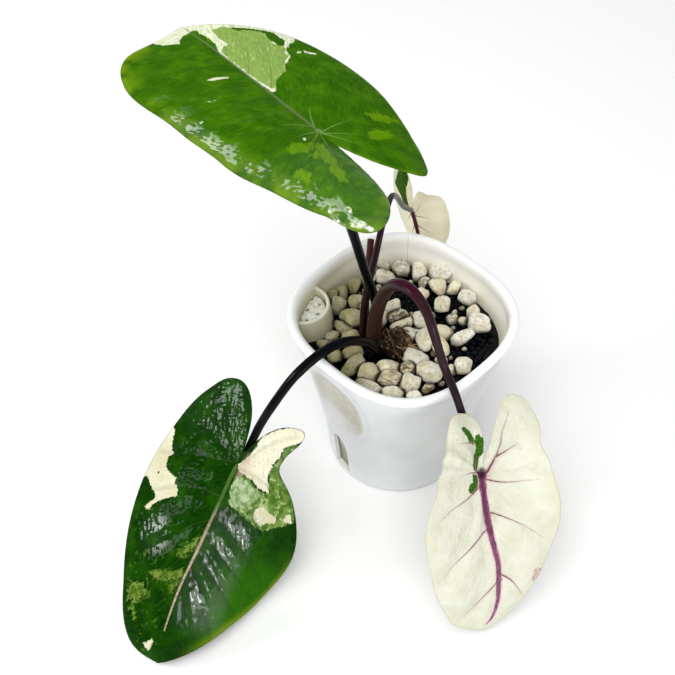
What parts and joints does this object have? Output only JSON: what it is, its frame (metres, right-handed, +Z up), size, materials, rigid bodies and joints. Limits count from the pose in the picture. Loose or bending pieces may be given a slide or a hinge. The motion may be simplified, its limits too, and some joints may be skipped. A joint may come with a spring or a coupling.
{
  "type": "potted alocasia",
  "caption": "Black-stalked aroid with arrow-shaped variegated leaves on arching stalks, in a white cup of granules and pumice with a corner water shaft.",
  "frame": {"origin": "centre of the cup's flat underside, on the floor", "axes": "+Z up; -Y towards the front, the side with the two hanging leaves; +X to the right seen from the front, so the cup's rounded corners lie along X and Y"},
  "size_m": [0.1982, 0.21, 0.2375],
  "materials": {
    "white_plastic": "semi-gloss translucent white plastic",
    "porous_liner": "matt white porous plug",
    "black_granules": "satin black round granules",
    "pumice": "matt rough cream stone",
    "corm_bark": "fibrous brown skin",
    "black_stalk": "satin near-black skin",
    "maroon_stalk": "satin dark maroon skin",
    "cut_stalk": "satin reddish brown skin, dry at the cut",
    "green_leaf": "semi-gloss green with cream and lime patches",
    "cream_leaf": "satin cream with purple veins",
    "dark_green_leaf": "glossy dark green with pale patches",
    "half_cream_leaf": "satin cream with a green strip"
  },
  "bodies": {
    "root": {"pot": "white_plastic", "shaft_liner": "porous_liner", "granule_bed": "black_granules", "pumice_pebbles": "pumice", "corm": "corm_bark", "top_petiole": "black_stalk", "right_petiole": "maroon_stalk", "left_petiole": "black_stalk", "back_petiole": "maroon_stalk", "cut_petiole": "cut_stalk", "top_blade": "green_leaf", "right_blade": "cream_leaf", "left_blade": "dark_green_leaf", "back_blade": "half_cream_leaf"}
  },
  "joints": []
}
